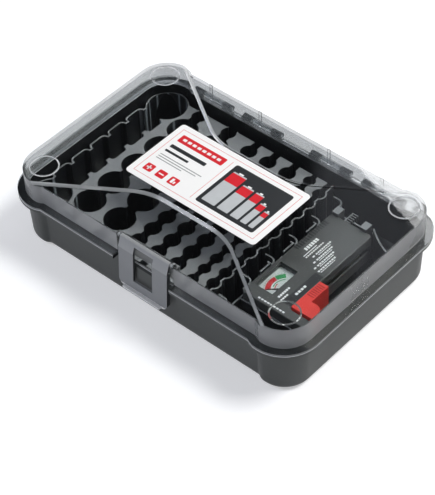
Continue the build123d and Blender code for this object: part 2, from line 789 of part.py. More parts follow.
magnet = post(pivot_x, pivot_y, meter_foot, meter_head, magnet_radius)
magnet -= post(pivot_x, pivot_y, 0, case_height, magnet_bore)
magnet += post(pivot_x, pivot_y, base_z, base_z + base_thickness, magnet_radius)
for angle in (0, 90, 180, 270):
    leg = block(magnet_radius - leg_inset - leg_depth, magnet_radius - leg_inset, -leg_depth, leg_depth,
                base_z + bite, meter_foot + bite)
    magnet += Pos(pivot_x, pivot_y, 0) * Rot(0, 0, angle) * leg
magnet -= post(pivot_x, pivot_y, 0, case_height, shaft_radius + pin_fit)
save(magnet, "meter_magnet")

core = post(pivot_x, pivot_y, meter_foot + core_inset, meter_head - core_inset, core_radius)
core += block(pivot_x - web_half, pivot_x + web_half, pivot_y - web_thickness / 2, pivot_y + web_thickness / 2,
              meter_foot + web_inset, meter_head - web_inset)
save(core, "meter_core")

turned = Pos(pivot_x, pivot_y, 0) * Rot(0, 0, needle_start)
coil_foot = meter_foot - coil_rise
coil_head = meter_head + coil_rise
coil = block(-coil_width / 2, coil_width / 2, -coil_half, coil_half, coil_foot, coil_head)
coil -= block(-coil_width, coil_width, coil_wire - coil_half, coil_half - coil_wire, meter_foot + coil_wire / 3,
              meter_head - coil_wire / 3)
save(turned * coil, "meter_coil")

needle_foot = dial_z + needle_rise
needle_head = needle_foot + needle_thickness
shape = make_face(Polyline((needle_tail, -needle_root / 2), (-needle_length, -needle_width / 4),
                           (-needle_length, needle_width / 4), (needle_tail, needle_root / 2), close=True))
needle = extrude(Pos(0, 0, needle_foot) * shape, amount=needle_thickness)
needle += post(0, 0, needle_foot, needle_head + hub_rise, hub_radius)
needle += post(0, 0, coil_head, tester_top - tester_wall - bearing_gap, shaft_radius)
save(turned * needle, "gauge_needle")
save(post(pivot_x, pivot_y, base_z + 0.2, coil_foot, shaft_radius), "needle_pivot")

save(block(board_x0, board_x1, board_y0, board_y1, board_z, board_z + board_thickness), "tester_board")
resistors = []
for i in range(resistor_count):
    resistors.append(rod_x(board_x0 + resistor_inset, board_x1 - resistor_inset,
                           board_y0 + resistor_first + i * resistor_pitch,
                           board_z + board_thickness + resistor_radius, resistor_radius))
save(Compound(children=resistors), "load_resistors")

fixed_y = tester_front + tester_step
arm_front = fixed_y + contact_thickness * 2 + contact_gap
arm_head = tester_top + arm_rise
arm_x0 = tester_right + arm_gap
arm_x1 = arm_x0 + arm_reach
hook_y = arm_front + arm_hook
arm_plan = make_face(Polyline((arm_x0, arm_front), (arm_x1, arm_front), (arm_x1, hook_y),
                              (arm_x0 + arm_width, hook_y), (arm_x0 + arm_width, arm_front + arm_length),
                              (arm_x0, arm_front + arm_length), close=True))
arm_corner = arm_plan.vertices().sort_by_distance((arm_x1, hook_y, 0))[0]
arm_plan = fillet([arm_corner], arm_hook_round)
tongue_y0 = arm_front + tongue_front
tongue_y1 = arm_front + arm_length - tongue_back
tongue_half = slot_height / 2 - tongue_gap
inside_x = tester_right - tester_wall - tongue_gap
arm = extrude(Pos(0, 0, arm_foot) * arm_plan, amount=arm_head - arm_foot)
arm += block(inside_x, arm_x0 + 1, tongue_y0, tongue_y1, split_z - tongue_half, split_z + tongue_half)
arm += block(inside_x - tongue_flange, inside_x, tongue_y0, tongue_y1, split_z - tongue_half - tongue_lap,
             split_z + tongue_half + tongue_lap)
save(arm, "slider_arm")

for name, y in (("slider_contact", arm_front - contact_thickness), ("fixed_contact", fixed_y)):
    save(block(arm_x0 + contact_left, arm_x1 - contact_right, y, y + contact_thickness, arm_foot + contact_foot,
               tester_top - contact_drop), name)
wiper_x = inside_x - tongue_flange - contact_thickness
wiper_y = tongue_y0 + wiper_inset
save(block(wiper_x, wiper_x + contact_thickness, wiper_y, wiper_y + wiper_length, split_z - wiper_half,
           split_z + wiper_half), "slider_wiper")
rail_x = wiper_x - rail_gap
save(block(rail_x - contact_thickness, rail_x, slot_y0 + rail_front, slot_y1 - rail_back,
           tester_base + tester_wall, split_z + rail_rise), "contact_rail")
pads = []
for i, radius in enumerate(pad_radii):
    pad = Pos(tester_left + pad_left + i * pad_pitch, tester_front - pad_thickness / 2 - pad_sink, split_z)
    pads.append(pad * Rot(90, 0, 0) * Cylinder(radius, pad_thickness))
save(Compound(children=pads), "nine_volt_contacts")

screws = []
for x, y in screw_places:
    screw = post(x, y, tester_base + screw_fit, tester_base + screw_head_depth, screw_head_radius)
    screw += post(x, y, tester_base + screw_head_depth, tester_top - tester_wall - screw_head_depth, screw_radius)
    screws.append(screw)
save(Compound(children=screws), "tester_screws")
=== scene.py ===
import math

import bpy
from mathutils import Matrix, Quaternion, Vector


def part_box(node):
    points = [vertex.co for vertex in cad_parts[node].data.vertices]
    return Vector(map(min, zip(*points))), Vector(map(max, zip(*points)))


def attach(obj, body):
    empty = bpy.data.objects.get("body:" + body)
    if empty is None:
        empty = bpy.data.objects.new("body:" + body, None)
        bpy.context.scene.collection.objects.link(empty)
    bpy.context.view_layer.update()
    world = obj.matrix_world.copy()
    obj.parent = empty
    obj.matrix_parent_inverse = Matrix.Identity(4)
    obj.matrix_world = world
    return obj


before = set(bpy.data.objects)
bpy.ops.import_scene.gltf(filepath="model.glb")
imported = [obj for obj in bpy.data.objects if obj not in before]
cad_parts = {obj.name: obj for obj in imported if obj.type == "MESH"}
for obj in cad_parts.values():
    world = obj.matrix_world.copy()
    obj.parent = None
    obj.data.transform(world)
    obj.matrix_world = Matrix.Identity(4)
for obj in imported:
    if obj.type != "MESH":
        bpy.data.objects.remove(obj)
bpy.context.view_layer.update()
mm = 0.001

# ---------------------------------------------------------------------------------------------
# Tub.  One injection moulding of dark grey polypropylene.  The mould's spark-eroded faces leave
# a fine even grain, so walls and rim take the light as a soft satin sheen with no sharp
# reflection, and the moulded edges are broken by a third of a millimetre.
# ---------------------------------------------------------------------------------------------


def linear(code):
    """sRGB hex colour as linear RGBA."""
    parts = [int(code[i:i + 2], 16) / 255 for i in (1, 3, 5)]
    return tuple(c / 12.92 if c <= 0.04045 else ((c + 0.055) / 1.055) ** 2.4 for c in parts) + (1.0,)


def add(material, kind, inputs=None, **settings):
    """One node with its settings; an input is a plain value or another node's output."""
    made = material.node_tree.nodes.new("ShaderNode" + kind)
    for name, value in settings.items():
        setattr(made, name, value)
    for socket, value in (inputs or {}).items():
        if isinstance(value, bpy.types.NodeSocket):
            material.node_tree.links.new(value, made.inputs[socket])
        else:
            made.inputs[socket].default_value = value
    return made


def start(name):
    """An empty material."""
    material = bpy.data.materials.new(name)
    material.use_nodes = True
    material.node_tree.nodes.clear()
    return material


def finish(material, shader):
    """Sets a material's surface."""
    add(material, "OutputMaterial", {"Surface": shader})
    return material


def mottled(material, low, high, cell, place):
    """Colour that drifts between two hex values over patches of a given size."""
    drift = add(material, "TexNoise", {"Vector": place, "Scale": 1 / cell, "Detail": 2.0})
    return add(material, "Mix", {"Factor": drift.outputs["Fac"], "A": linear(low), "B": linear(high)},
               data_type="RGBA")


def grain(material, size, depth, place):
    """Bump of an eroded mould face."""
    bumps = add(material, "TexNoise", {"Vector": place, "Scale": 1 / size, "Detail": 3.0})
    return add(material, "Bump", {"Height": bumps.outputs["Fac"], "Distance": depth})


def moulded(name, low, high, roughness, size=1.1 * mm, depth=0.02 * mm, ior=1.49):
    """Opaque plastic, card or enamel with a fine grain; a moulding's real 0.3 mm grain is drawn
    coarser, to show."""
    material = start(name)
    place = add(material, "TexCoord").outputs["Object"]
    colour = mottled(material, low, high, 40 * mm, place)
    bump = grain(material, size, depth, place)
    shader = add(material, "BsdfPrincipled", {"Base Color": colour.outputs["Result"], "Roughness": roughness,
                                              "IOR": ior, "Normal": bump.outputs["Normal"]})
    return finish(material, shader.outputs["BSDF"])


def soft_edges():
    """Shades a piece smooth, but keeps edges sharper than a limit."""
    group = bpy.data.node_groups.new("soft_edges", "GeometryNodeTree")
    group.interface.new_socket("Geometry", in_out="INPUT", socket_type="NodeSocketGeometry")
    group.interface.new_socket("Geometry", in_out="OUTPUT", socket_type="NodeSocketGeometry")
    nodes, links = group.nodes, group.links
    start_node, end_node = nodes.new("NodeGroupInput"), nodes.new("NodeGroupOutput")
    faces, edges = nodes.new("GeometryNodeSetShadeSmooth"), nodes.new("GeometryNodeSetShadeSmooth")
    edges.domain = "EDGE"
    angle, limit = nodes.new("GeometryNodeInputMeshEdgeAngle"), nodes.new("FunctionNodeCompare")
    limit.operation = "LESS_THAN"
    limit.inputs["B"].default_value = math.radians(32)
    links.new(start_node.outputs[0], faces.inputs["Geometry"])
    links.new(faces.outputs[0], edges.inputs["Geometry"])
    links.new(angle.outputs["Unsigned Angle"], limit.inputs["A"])
    links.new(limit.outputs["Result"], edges.inputs["Shade Smooth"])
    links.new(edges.outputs[0], end_node.inputs[0])
    return group


edge_shading = soft_edges()


def break_edges(piece, width):
    """Rounds a piece's sharp edges."""
    weld = piece.modifiers.new("weld", "WELD")
    weld.merge_threshold = 0.002 * mm
    if width:
        bevel = piece.modifiers.new("edges", "BEVEL")
        bevel.width = width
        bevel.segments = 2
        bevel.limit_method = "ANGLE"
        bevel.angle_limit = math.radians(35)
        bevel.use_clamp_overlap = True
    piece.modifiers.new("shading", "NODES").node_group = edge_shading
    faces = piece.modifiers.new("faces", "WEIGHTED_NORMAL")
    faces.keep_sharp = True


def dress(name, material, edge=0.0):
    """Gives a piece of the case its material and broken edges."""
    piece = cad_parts[name]
    piece.data.materials.clear()
    piece.data.materials.append(material)
    break_edges(piece, edge)
    return piece


def tub_moulding(name):
    """Grained grey on the outside; the inside and the seat of the rim are a little smoother and painted near
    black, as painted shade.
    """
    material = start(name)
    coordinates = add(material, "TexCoord")
    place = coordinates.outputs["Object"]
    outward = add(material, "VectorMath", {0: place, 1: coordinates.outputs["Normal"]}, operation="MULTIPLY")
    parts = add(material, "SeparateXYZ", {"Vector": outward.outputs["Vector"]})
    spread = add(material, "Math", {0: parts.outputs["X"], 1: parts.outputs["Y"]}, operation="ADD").outputs[0]
    inside = add(material, "MapRange", {"Value": spread, "From Min": 0.0,
                                        "From Max": -1 * mm}).outputs["Result"]
    upward = add(material, "SeparateXYZ", {"Vector": coordinates.outputs["Normal"]}).outputs["Z"]
    level = add(material, "MapRange", {"Value": upward, "From Min": 0.5, "From Max": 0.8}).outputs["Result"]
    # Painted shade: the inside and the upward faces are painted near black; they are also made a little
    # smoother.
    smooth = add(material, "Math", {0: inside, 1: level}, operation="MAXIMUM").outputs[0]
    grey = mottled(material, "#3B3D3C", "#454847", 40 * mm, place)
    colour = add(material, "Mix", {"Factor": smooth, "A": grey.outputs["Result"], "B": linear("#0E0F11")},
                 data_type="RGBA")
    rough = add(material, "MapRange", {"Value": smooth, "To Min": 0.44, "To Max": 0.36}).outputs["Result"]
    bump = grain(material, 1.1 * mm, 0.02 * mm, place)
    shader = add(material, "BsdfPrincipled", {"Base Color": colour.outputs["Result"], "Roughness": rough,
                                              "IOR": 1.49, "Specular IOR Level": 0.3,
                                              "Normal": bump.outputs["Normal"]})
    return finish(material, shader.outputs["BSDF"])


dress("base_tub", tub_moulding("moulded_satin_polypropylene"), 0.35 * mm)

# ---------------------------------------------------------------------------------------------
# Hinge pins and latch stubs.  Drawn steel wire cut to length and pressed in place: bright, with
# fine drawing lines along the wire that stretch its highlights.
# ---------------------------------------------------------------------------------------------


def drawn_wire(name):
    """Bare drawn steel, lined along X: six lines to the millimetre, each about 25 mm long."""
    along, across = 1 / (25 * mm), 6 / mm
    material = start(name)
    place = add(material, "TexCoord").outputs["Object"]
    lines = add(material, "Mapping", {"Vector": place, "Scale": (along, across, across)})
    streaks = add(material, "TexNoise", {"Vector": lines.outputs["Vector"], "Scale": 1.0, "Detail": 2.0})
    rough = add(material, "MapRange", {"Value": streaks.outputs["Fac"], "To Min": 0.2, "To Max": 0.42})
    shader = add(material, "BsdfPrincipled", {"Base Color": linear("#B9BBBD"), "Metallic": 1.0,
                                              "Roughness": rough.outputs["Result"]})
    return finish(material, shader.outputs["BSDF"])


wire_steel = drawn_wire("drawn_steel_wire")
for number in range(1, 5):
    dress("hinge_pin_" + str(number), wire_steel)
for side in ("left", "right"):
    dress("latch_pin_" + side, wire_steel)

# ---------------------------------------------------------------------------------------------
# Cell tray.  A black polystyrene moulding: its top plate and the rims of its thin walls are
# finely blasted, so rougher, and painted pale grey as a painted sheen for the light they catch,
# while the deep wells keep the smooth black of the polished cores that formed them.
# ---------------------------------------------------------------------------------------------


def tray_moulding(name, top, band, well, flutes):
    """Black in the wells; on faces within a band below the given height, rougher and painted pale
    grey as a painted sheen.  On the walls of the two large round wells, mirrored about X, light
    stripes are painted where flutes would catch the light, as a painted highlight."""
    span = 19 * mm
    material = start(name)
    place = add(material, "TexCoord").outputs["Object"]
    axes = add(material, "SeparateXYZ", {"Vector": place})
    mask = add(material, "MapRange", {"Value": axes.outputs["Z"], "From Min": top - band,
                                      "From Max": top - band / 2})
    aside = add(material, "Math", {0: axes.outputs["X"], 1: well[0]}, operation="SUBTRACT").outputs[0]
    across = add(material, "Math", {0: axes.outputs["Y"]}, operation="ABSOLUTE").outputs[0]
    along = add(material, "Math", {0: across, 1: well[1]}, operation="SUBTRACT").outputs[0]
    round_it = add(material, "Math", {0: along, 1: aside}, operation="ARCTAN2").outputs[0]
    turns = add(material, "Math", {0: round_it, 1: float(flutes)}, operation="MULTIPLY").outputs[0]
    wave = add(material, "Math", {0: turns}, operation="COSINE").outputs[0]
    # Painted highlight: light stripes on the walls of the large wells stand for flutes catching the light.
    ridge_highlight = add(material, "MapRange", {"Value": wave, "From Min": 0.72, "From Max": 1.0}).outputs["Result"]
    left = add(material, "Math", {0: aside, 1: span}, operation="LESS_THAN").outputs[0]
    near = add(material, "Math", {0: along, 1: -span}, operation="GREATER_THAN").outputs[0]
    both = add(material, "Math", {0: left, 1: near}, operation="MULTIPLY").outputs[0]
    flute_highlight = add(material, "Math", {0: ridge_highlight, 1: both}, operation="MULTIPLY").outputs[0]
    # Painted sheen: faces near the top are painted pale grey for the light the black plastic reflects there.
    pale = mottled(material, "#636466", "#7A7B7D", 55 * mm, place)
    black = mottled(material, "#0B0D0F", "#14171A", 30 * mm, place)
    dark = add(material, "Mix", {"Factor": flute_highlight, "A": black.outputs["Result"], "B": linear("#7C8288")},
               data_type="RGBA")
    colour = add(material, "Mix", {"Factor": mask.outputs["Result"], "A": dark.outputs["Result"],
                                   "B": pale.outputs["Result"]}, data_type="RGBA")
    rough = add(material, "MapRange", {"Value": mask.outputs["Result"], "To Min": 0.38, "To Max": 0.6})
    bump = grain(material, 1.0 * mm, 0.02 * mm, place)
    shader = add(material, "BsdfPrincipled", {"Base Color": colour.outputs["Result"],
                                              "Roughness": rough.outputs["Result"], "IOR": 1.59,
                                              "Normal": bump.outputs["Normal"]})
    return finish(material, shader.outputs["BSDF"])


tray_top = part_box("cell_tray")[1].z
# Depth of the band painted with the pale sheen.
sheen_band = 0.5 * mm
large_well = (-123.95 * mm, 69.95 * mm)
flute_count = 11
tray_plastic = tray_moulding("moulded_black_polystyrene", tray_top, sheen_band, large_well, flute_count)
dress("cell_tray", tray_plastic, 0.25 * mm)

# ---------------------------------------------------------------------------------------------
# Tester cradle.  The second black moulding, with thin bent walls standing on its floor.  Only
# the rims of the walls are painted pale, as a painted sheen; the floor and the scooped storage
# well stay dark.
# ---------------------------------------------------------------------------------------------


def cradle_moulding(name, floor):
    """Black plastic whose upward rims, above a height, are painted paler, as a painted sheen."""
    material = start(name)
    coordinates = add(material, "TexCoord")
    place = coordinates.outputs["Object"]
    height = add(material, "SeparateXYZ", {"Vector": place}).outputs["Z"]
    above = add(material, "MapRange", {"Value": height, "From Min": floor, "From Max": floor + 2 * mm})
    upward = add(material, "SeparateXYZ", {"Vector": coordinates.outputs["Normal"]}).outputs["Z"]
    facing = add(material, "MapRange", {"Value": upward, "From Min": 0.55, "From Max": 0.9})
    mask = add(material, "Math", {0: above.outputs["Result"], 1: facing.outputs["Result"]},
               operation="MULTIPLY")
    # Painted sheen: the upward rims are painted in this paler grey.
    pale = mottled(material, "#5E6163", "#77797B", 40 * mm, place)
    dark = mottled(material, "#141618", "#202224", 30 * mm, place)
    colour = add(material, "Mix", {"Factor": mask.outputs[0], "A": dark.outputs["Result"],
                                   "B": pale.outputs["Result"]}, data_type="RGBA")
    bump = grain(material, 1.0 * mm, 0.02 * mm, place)
    shader = add(material, "BsdfPrincipled", {"Base Color": colour.outputs["Result"], "Roughness": 0.4,
                                              "IOR": 1.59, "Normal": bump.outputs["Normal"]})
    return finish(material, shader.outputs["BSDF"])


rim_height = 24 * mm
cradle_plastic = cradle_moulding("moulded_black_polystyrene_rims", rim_height)
dress("tester_cradle", cradle_plastic, 0.2 * mm)

# ---------------------------------------------------------------------------------------------
# Tester case.  Two halves of charcoal ABS, screwed together.  The eroded grain is finer than
# the tub's, so the top shows a broad soft gradient from the light above.
# ---------------------------------------------------------------------------------------------
tester_plastic = moulded("eroded_charcoal_abs", "#3B3C3C", "#464747", 0.42, size=0.9 * mm, ior=1.54)
dress("tester_lower_case", tester_plastic, 0.25 * mm)
dress("tester_upper_case", tester_plastic, 0.25 * mm)
dress("tester_screws", wire_steel)

tester_low, tester_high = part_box("tester_upper_case")
tester_top = tester_high.z


def plates(name, outlines, foot, head, material, body):
    """One piece made of flat plates, from closed outlines of (x, y) points."""
    corners, faces = [], []
    for outline in outlines:
        first, count = len(corners), len(outline)
        corners += [(x, y, foot) for x, y in outline] + [(x, y, head) for x, y in outline]
        faces.append([first + i for i in reversed(range(count))])
        faces.append([first + count + i for i in range(count)])
        for i in range(count):
            j = (i + 1) % count
            faces.append([first + i, first + j, first + count + j, first + count + i])
    mesh = bpy.data.meshes.new(name)
    mesh.from_pydata(corners, [], faces)
    mesh.materials.append(material)
    piece = bpy.data.objects.new(name, mesh)
    bpy.context.scene.collection.objects.link(piece)
    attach(piece, body)
    return piece


def oblong(x0, x1, y0, y1, radius=0.0, steps=5):
    """Outline of a rectangle with round corners, counter-clockwise."""
    if not radius:
        return [(x0, y0), (x1, y0), (x1, y1), (x0, y1)]
    points = []
    for cx, cy, turn in ((x1 - radius, y0 + radius, 270), (x1 - radius, y1 - radius, 0),
                         (x0 + radius, y1 - radius, 90), (x0 + radius, y0 + radius, 180)):
        for i in range(steps + 1):
            a = math.radians(turn + 90 * i / steps)
            points.append((cx + radius * math.cos(a), cy + radius * math.sin(a)))
    return points


def sector(cx, cy, inner, outer, start_angle, end_angle, steps=24):
    """Outline of a ring's sector, angles in degrees."""
    angles = [math.radians(start_angle + (end_angle - start_angle) * i / steps) for i in range(steps + 1)]
    far_side = [(cx + outer * math.cos(a), cy + outer * math.sin(a)) for a in angles]
    near_side = [(cx + inner * math.cos(a), cy + inner * math.sin(a)) for a in reversed(angles)]
    return far_side + near_side


# The grip ribs and the guide strip beside the slider are a darker, smoother inlay.
strip_plastic = moulded("polished_black_abs", "#1D1F21", "#26282A", 0.35, ior=1.54)
sunk = 0.3 * mm
rib_count, rib_pitch = 15, 2.65 * mm
rib_length, rib_width = 5.2 * mm, 1.3 * mm
rib_x = tester_low.x + 0.6 * mm
rib_y = 8.2 * mm
ribs = [oblong(rib_x, rib_x + rib_length, rib_y + i * rib_pitch, rib_y + i * rib_pitch + rib_width, 0.4 * mm)
        for i in range(rib_count)]
plates("tester_grip_ribs", ribs, tester_top - sunk, tester_top + 0.35 * mm, strip_plastic, "case")

strip_left, strip_right = tester_high.x - 29.4 * mm, tester_high.x - 21.2 * mm
strip_front, strip_back = -42.6 * mm, -2.6 * mm
strip = [oblong(strip_left, strip_right, strip_front, strip_back, 0.8 * mm)]
strip_face = tester_top + 0.12 * mm
plates("tester_guide_strip", strip, tester_top - sunk, strip_face, strip_plastic, "case")


def ink(name, code, roughness=0.45):
    """Screen-printed ink: an even colour whose thin film shows slight mottling."""
    material = start(name)
    place = add(material, "TexCoord").outputs["Object"]
    film = add(material, "TexNoise", {"Vector": place, "Scale": 1 / (6 * mm), "Detail": 2.0})
    spread = add(material, "MapRange", {"Value": film.outputs["Fac"], "To Min": 0.93, "To Max": 1.07})
    colour = add(material, "HueSaturation", {"Value": spread.outputs["Result"], "Color": linear(code)})
    shader = add(material, "BsdfPrincipled", {"Base Color": colour.outputs["Color"], "Roughness": roughness})
    return finish(material, shader.outputs["BSDF"])


def dashes(x, y0, y1, height, count):
    """A row of dashes along Y, in the place and scale of a printed line; sizes in millimetres."""
    pitch = (y1 - y0) / count
    return [oblong(x * mm, (x + height) * mm, (y0 + i * pitch) * mm, (y0 + i * pitch + pitch * 0.72) * mm)
            for i in range(count)]


# Pad-printed marks: a heading, a rule and a caption; four stepped lines, each with a finer one
# under it and a small cell at its front end; two lines by the dial; a row of squares in front.
white_ink = ink("pad_printed_white_ink", "#DADCDC")
heading = dashes(74.8, 11.5, 28.0, 3.2, 6)
heading_rule = dashes(79.8, 5.0, 27.5, 0.8, 1)
caption = dashes(81.8, 5.0, 27.5, 1.3, 10)
marks = heading + heading_rule + caption
line_pitch, front_step, back_step = 4.5, 4.6, 3.6
for i in range(4):
    x0 = 85.4 + i * line_pitch
    front, back = 13.0 - i * front_step, 32.0 - i * back_step
    marks += dashes(x0, front, back, 1.4, 8)
    marks += dashes(x0 + 2.2, front + 1.0, back - 3.0, 0.8, 8)
    marks.append(oblong((x0 + 0.2) * mm, (x0 + 1.6) * mm, (front - 4.2) * mm, (front - 1.8) * mm, 0.3 * mm))
marks += dashes(92.2, -41.0, -27.0, 1.8, 6)
marks += dashes(96.0, -42.5, -33.5, 1.4, 4)
square_pitch, square_length, square_front, square_back = 3, 2.0, -51.2, -49.7
for x in range(81, 108, square_pitch):
    marks.append(oblong(x * mm, (x + square_length) * mm, square_front * mm, square_back * mm))
ink_sunk, ink_film = 0.02 * mm, 0.05 * mm
plates("tester_cell_marks", marks, tester_top - ink_sunk, tester_top + ink_film, white_ink, "case")

strip_marks = dashes(100.6, -30.5, -17.5, 2.1, 4)
plates("tester_strip_marks", strip_marks, strip_face - ink_sunk, strip_face + ink_film, white_ink, "case")

# ---------------------------------------------------------------------------------------------
# Meter.  A printed card under clear glazing, a black needle, a copper coil on a soft iron core
# and a ring magnet.  The card carries a red band, a green band and fine scale lines.
# ---------------------------------------------------------------------------------------------
card_stock = moulded("matt_coated_card", "#B9BCBA", "#C6C8C6", 0.7, size=0.5 * mm, depth=0.005 * mm)
dress("gauge_dial", card_stock)
needle_low, needle_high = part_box("needle_pivot")
pivot = (needle_low + needle_high) / 2
dial_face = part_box("gauge_dial")[1].z
red_ink = ink("printed_red_ink", "#B3262B")
green_ink = ink("printed_green_ink", "#1E7F45")
black_ink = ink("printed_black_ink", "#222426")
print_film = 0.06 * mm


def scale_bands(name, spans, material):
    """Bands of the meter's scale, each (inner radius, outer radius, first angle, last angle)."""
    outlines = [sector(pivot.x, pivot.y, a * mm, b * mm, c, d) for a, b, c, d in spans]
    return plates(name, outlines, dial_face - ink_sunk, dial_face + print_film, material, "case")


scale_bands("scale_red_bands", [(12.2, 16.6, 165, 222), (8.6, 9.4, 178, 222)], red_ink)
scale_bands("scale_green_bands", [(12.2, 16.6, 131, 163), (10.2, 11.0, 133, 205)], green_ink)
tick_step, half_tick = 8, 0.6
ticks = [(17.2, 18.0, angle - half_tick, angle + half_tick) for angle in range(134, 222, tick_step)]
scale_bands("scale_ticks", ticks, black_ink)


def clear_moulding(name, tint, lamp_tint, roughness, ior):
    """Clear plastic that lamps shine through; the tints are for sight and for their light."""
    material = start(name)
    place = add(material, "TexCoord").outputs["Object"]
    ripple = add(material, "TexNoise", {"Vector": place, "Scale": 1 / (18 * mm), "Detail": 1.0})
    bump = add(material, "Bump", {"Height": ripple.outputs["Fac"], "Distance": 0.01 * mm})
    glass = add(material, "BsdfPrincipled", {"Base Color": linear(tint), "Roughness": roughness, "IOR": ior,
                                             "Transmission Weight": 1.0, "Normal": bump.outputs["Normal"]})
    passing = add(material, "BsdfTransparent", {"Color": linear(lamp_tint)})
    lamps = add(material, "LightPath").outputs["Is Shadow Ray"]
    mixed = add(material, "MixShader", {0: lamps, 1: glass.outputs["BSDF"], 2: passing.outputs["BSDF"]})
    return finish(material, mixed.outputs["Shader"])


glazing = clear_moulding("clear_cast_acrylic", "#EEF1F1", "#F4F6F6", 0.01, 1.49)
dress("gauge_window", glazing, 0.1 * mm)

needle_paint = moulded("stoved_black_enamel", "#101112", "#161718", 0.35, ior=1.5)
dress("gauge_needle", needle_paint)
dress("needle_pivot", wire_steel)


def winding(name):
    """Enamelled copper wire, wound in close turns; the real 0.1 mm wire is drawn coarser, to show.
    A wave of scale s repeats every pi / 10 / s."""
    wire = 0.7854 * mm
    material = start(name)
    place = add(material, "TexCoord").outputs["Object"]
    turns = add(material, "TexWave", {"Vector": place, "Scale": math.pi / 10 / wire, "Distortion": 0.4},
                bands_direction="Z")
    bump = add(material, "Bump", {"Height": turns.outputs["Fac"], "Distance": 0.1 * mm})
    shader = add(material, "BsdfPrincipled", {"Base Color": linear("#B4673A"), "Metallic": 1.0,
                                              "Roughness": 0.35, "Normal": bump.outputs["Normal"]})
    return finish(material, shader.outputs["BSDF"])


dress("meter_coil", winding("enamelled_copper_winding"))


def ground_iron(name, low, high):
    """Iron or ferrite with a ground face."""
    material = start(name)
    place = add(material, "TexCoord").outputs["Object"]
    colour = mottled(material, low, high, 3 * mm, place)
    bump = grain(material, 0.4 * mm, 0.01 * mm, place)
    shader = add(material, "BsdfPrincipled", {"Base Color": colour.outputs["Result"], "Metallic": 1.0,
                                              "Roughness": 0.5, "Normal": bump.outputs["Normal"]})
    return finish(material, shader.outputs["BSDF"])


iron = ground_iron("ground_soft_iron", "#5D5E60", "#707274")
dress("meter_core", iron)
dress("meter_magnet", iron, 0.15 * mm)

# ---------------------------------------------------------------------------------------------
# Board, load resistors and contacts.  The board is brown paper laminate, the resistors are
# lacquered, and rail, wiper, plates and pads are nickel-plated spring brass.
# ---------------------------------------------------------------------------------------------
laminate = moulded("punched_paper_laminate", "#7A5A34", "#8A6A40", 0.55, size=0.8 * mm)
dress("tester_board", laminate)
lacquer = moulded("lacquered_resistor", "#B89A6C", "#C6AA7E", 0.3, size=0.8 * mm)
dress("load_resistors", lacquer)


def plated(name):
    """Nickel plate on rolled strip: bright, with faint rolling lines, five to the millimetre."""
    along, across = 0.3 / mm, 5 / mm
    material = start(name)
    place = add(material, "TexCoord").outputs["Object"]
    lines = add(material, "Mapping", {"Vector": place, "Scale": (along, along, across)})
    streaks = add(material, "TexNoise", {"Vector": lines.outputs["Vector"], "Scale": 1.0, "Detail": 2.0})
    rough = add(material, "MapRange", {"Value": streaks.outputs["Fac"], "To Min": 0.22, "To Max": 0.4})
    shader = add(material, "BsdfPrincipled", {"Base Color": linear("#C9C5B8"), "Metallic": 1.0,
                                              "Roughness": rough.outputs["Result"]})
    return finish(material, shader.outputs["BSDF"])


nickel = plated("nickel_plated_strip")
for name in ("contact_rail", "fixed_contact", "nine_volt_contacts", "slider_contact", "slider_wiper"):
    dress(name, nickel)

# ---------------------------------------------------------------------------------------------
# Slider.  One red ABS moulding, glossier than the case it slides in, with low ribs across the
# top of its long leg for the thumb; the ribs are painted a darker red, as painted shade.
# ---------------------------------------------------------------------------------------------
red_grain, red_depth = 1.0 * mm, 0.008 * mm
red_plastic = moulded("moulded_red_abs", "#BE2E28", "#CE3A33", 0.34, red_grain, red_depth, ior=1.54)
dress("slider_arm", red_plastic, 0.4 * mm)
arm_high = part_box("slider_arm")[1]
leg_left = arm_high.x - 20.2 * mm
thumb_left, thumb_right = leg_left + 0.9 * mm, leg_left + 7.7 * mm
thumb_front, thumb_pitch, thumb_width = -25.5 * mm, 2.2 * mm, 0.9 * mm
thumb_ribs = []
for i in range(7):
    rib_front = thumb_front + i * thumb_pitch
    thumb_ribs.append(oblong(thumb_left, thumb_right, rib_front, rib_front + thumb_width, 0.3 * mm))
# Painted shade: the thumb ribs are painted a darker red than the arm.
rib_red = moulded("painted_shade_red_abs", "#8E1D1A", "#9C2420", 0.45, red_grain, red_depth, ior=1.54)
plates("slider_thumb_ribs", thumb_ribs, arm_high.z - sunk, arm_high.z + 0.3 * mm, rib_red, "slider")

# ---------------------------------------------------------------------------------------------
# Lid.  One clear moulding of polystyrene with a little smoke in it.  The faces are polished, so
# they mirror the room weakly; the sloped steps of its H are finely etched and look pale.
# ---------------------------------------------------------------------------------------------


